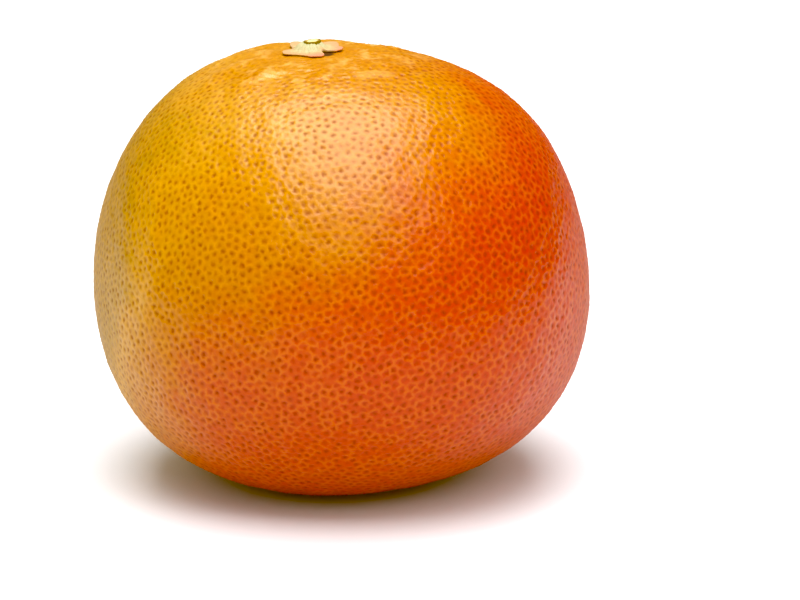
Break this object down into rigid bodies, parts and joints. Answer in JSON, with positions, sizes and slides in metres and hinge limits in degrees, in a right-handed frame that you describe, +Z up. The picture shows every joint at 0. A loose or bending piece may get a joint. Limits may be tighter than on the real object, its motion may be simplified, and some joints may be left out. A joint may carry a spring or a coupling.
{
  "type": "grapefruit",
  "caption": "Whole ripe grapefruit, a broad oblate citrus fruit with a pitted amber to red-orange rind, a dried calyx and a short cut stem stub, resting on a small flat spot.",
  "frame": {"origin": "on the surface that the fruit rests on, under the middle of its bounding box", "axes": "+Z up towards the stem end, which leans 5 degrees towards -X; +X to the right and +Y away from the viewer of the picture"},
  "size_m": [0.111, 0.1108, 0.0999],
  "materials": {
    "rind": "satin",
    "dried_calyx": "matte",
    "cut_stem": "matte"
  },
  "bodies": {
    "root": {"fruit": "rind", "calyx": "dried_calyx", "stem_stub": "cut_stem"}
  },
  "joints": []
}
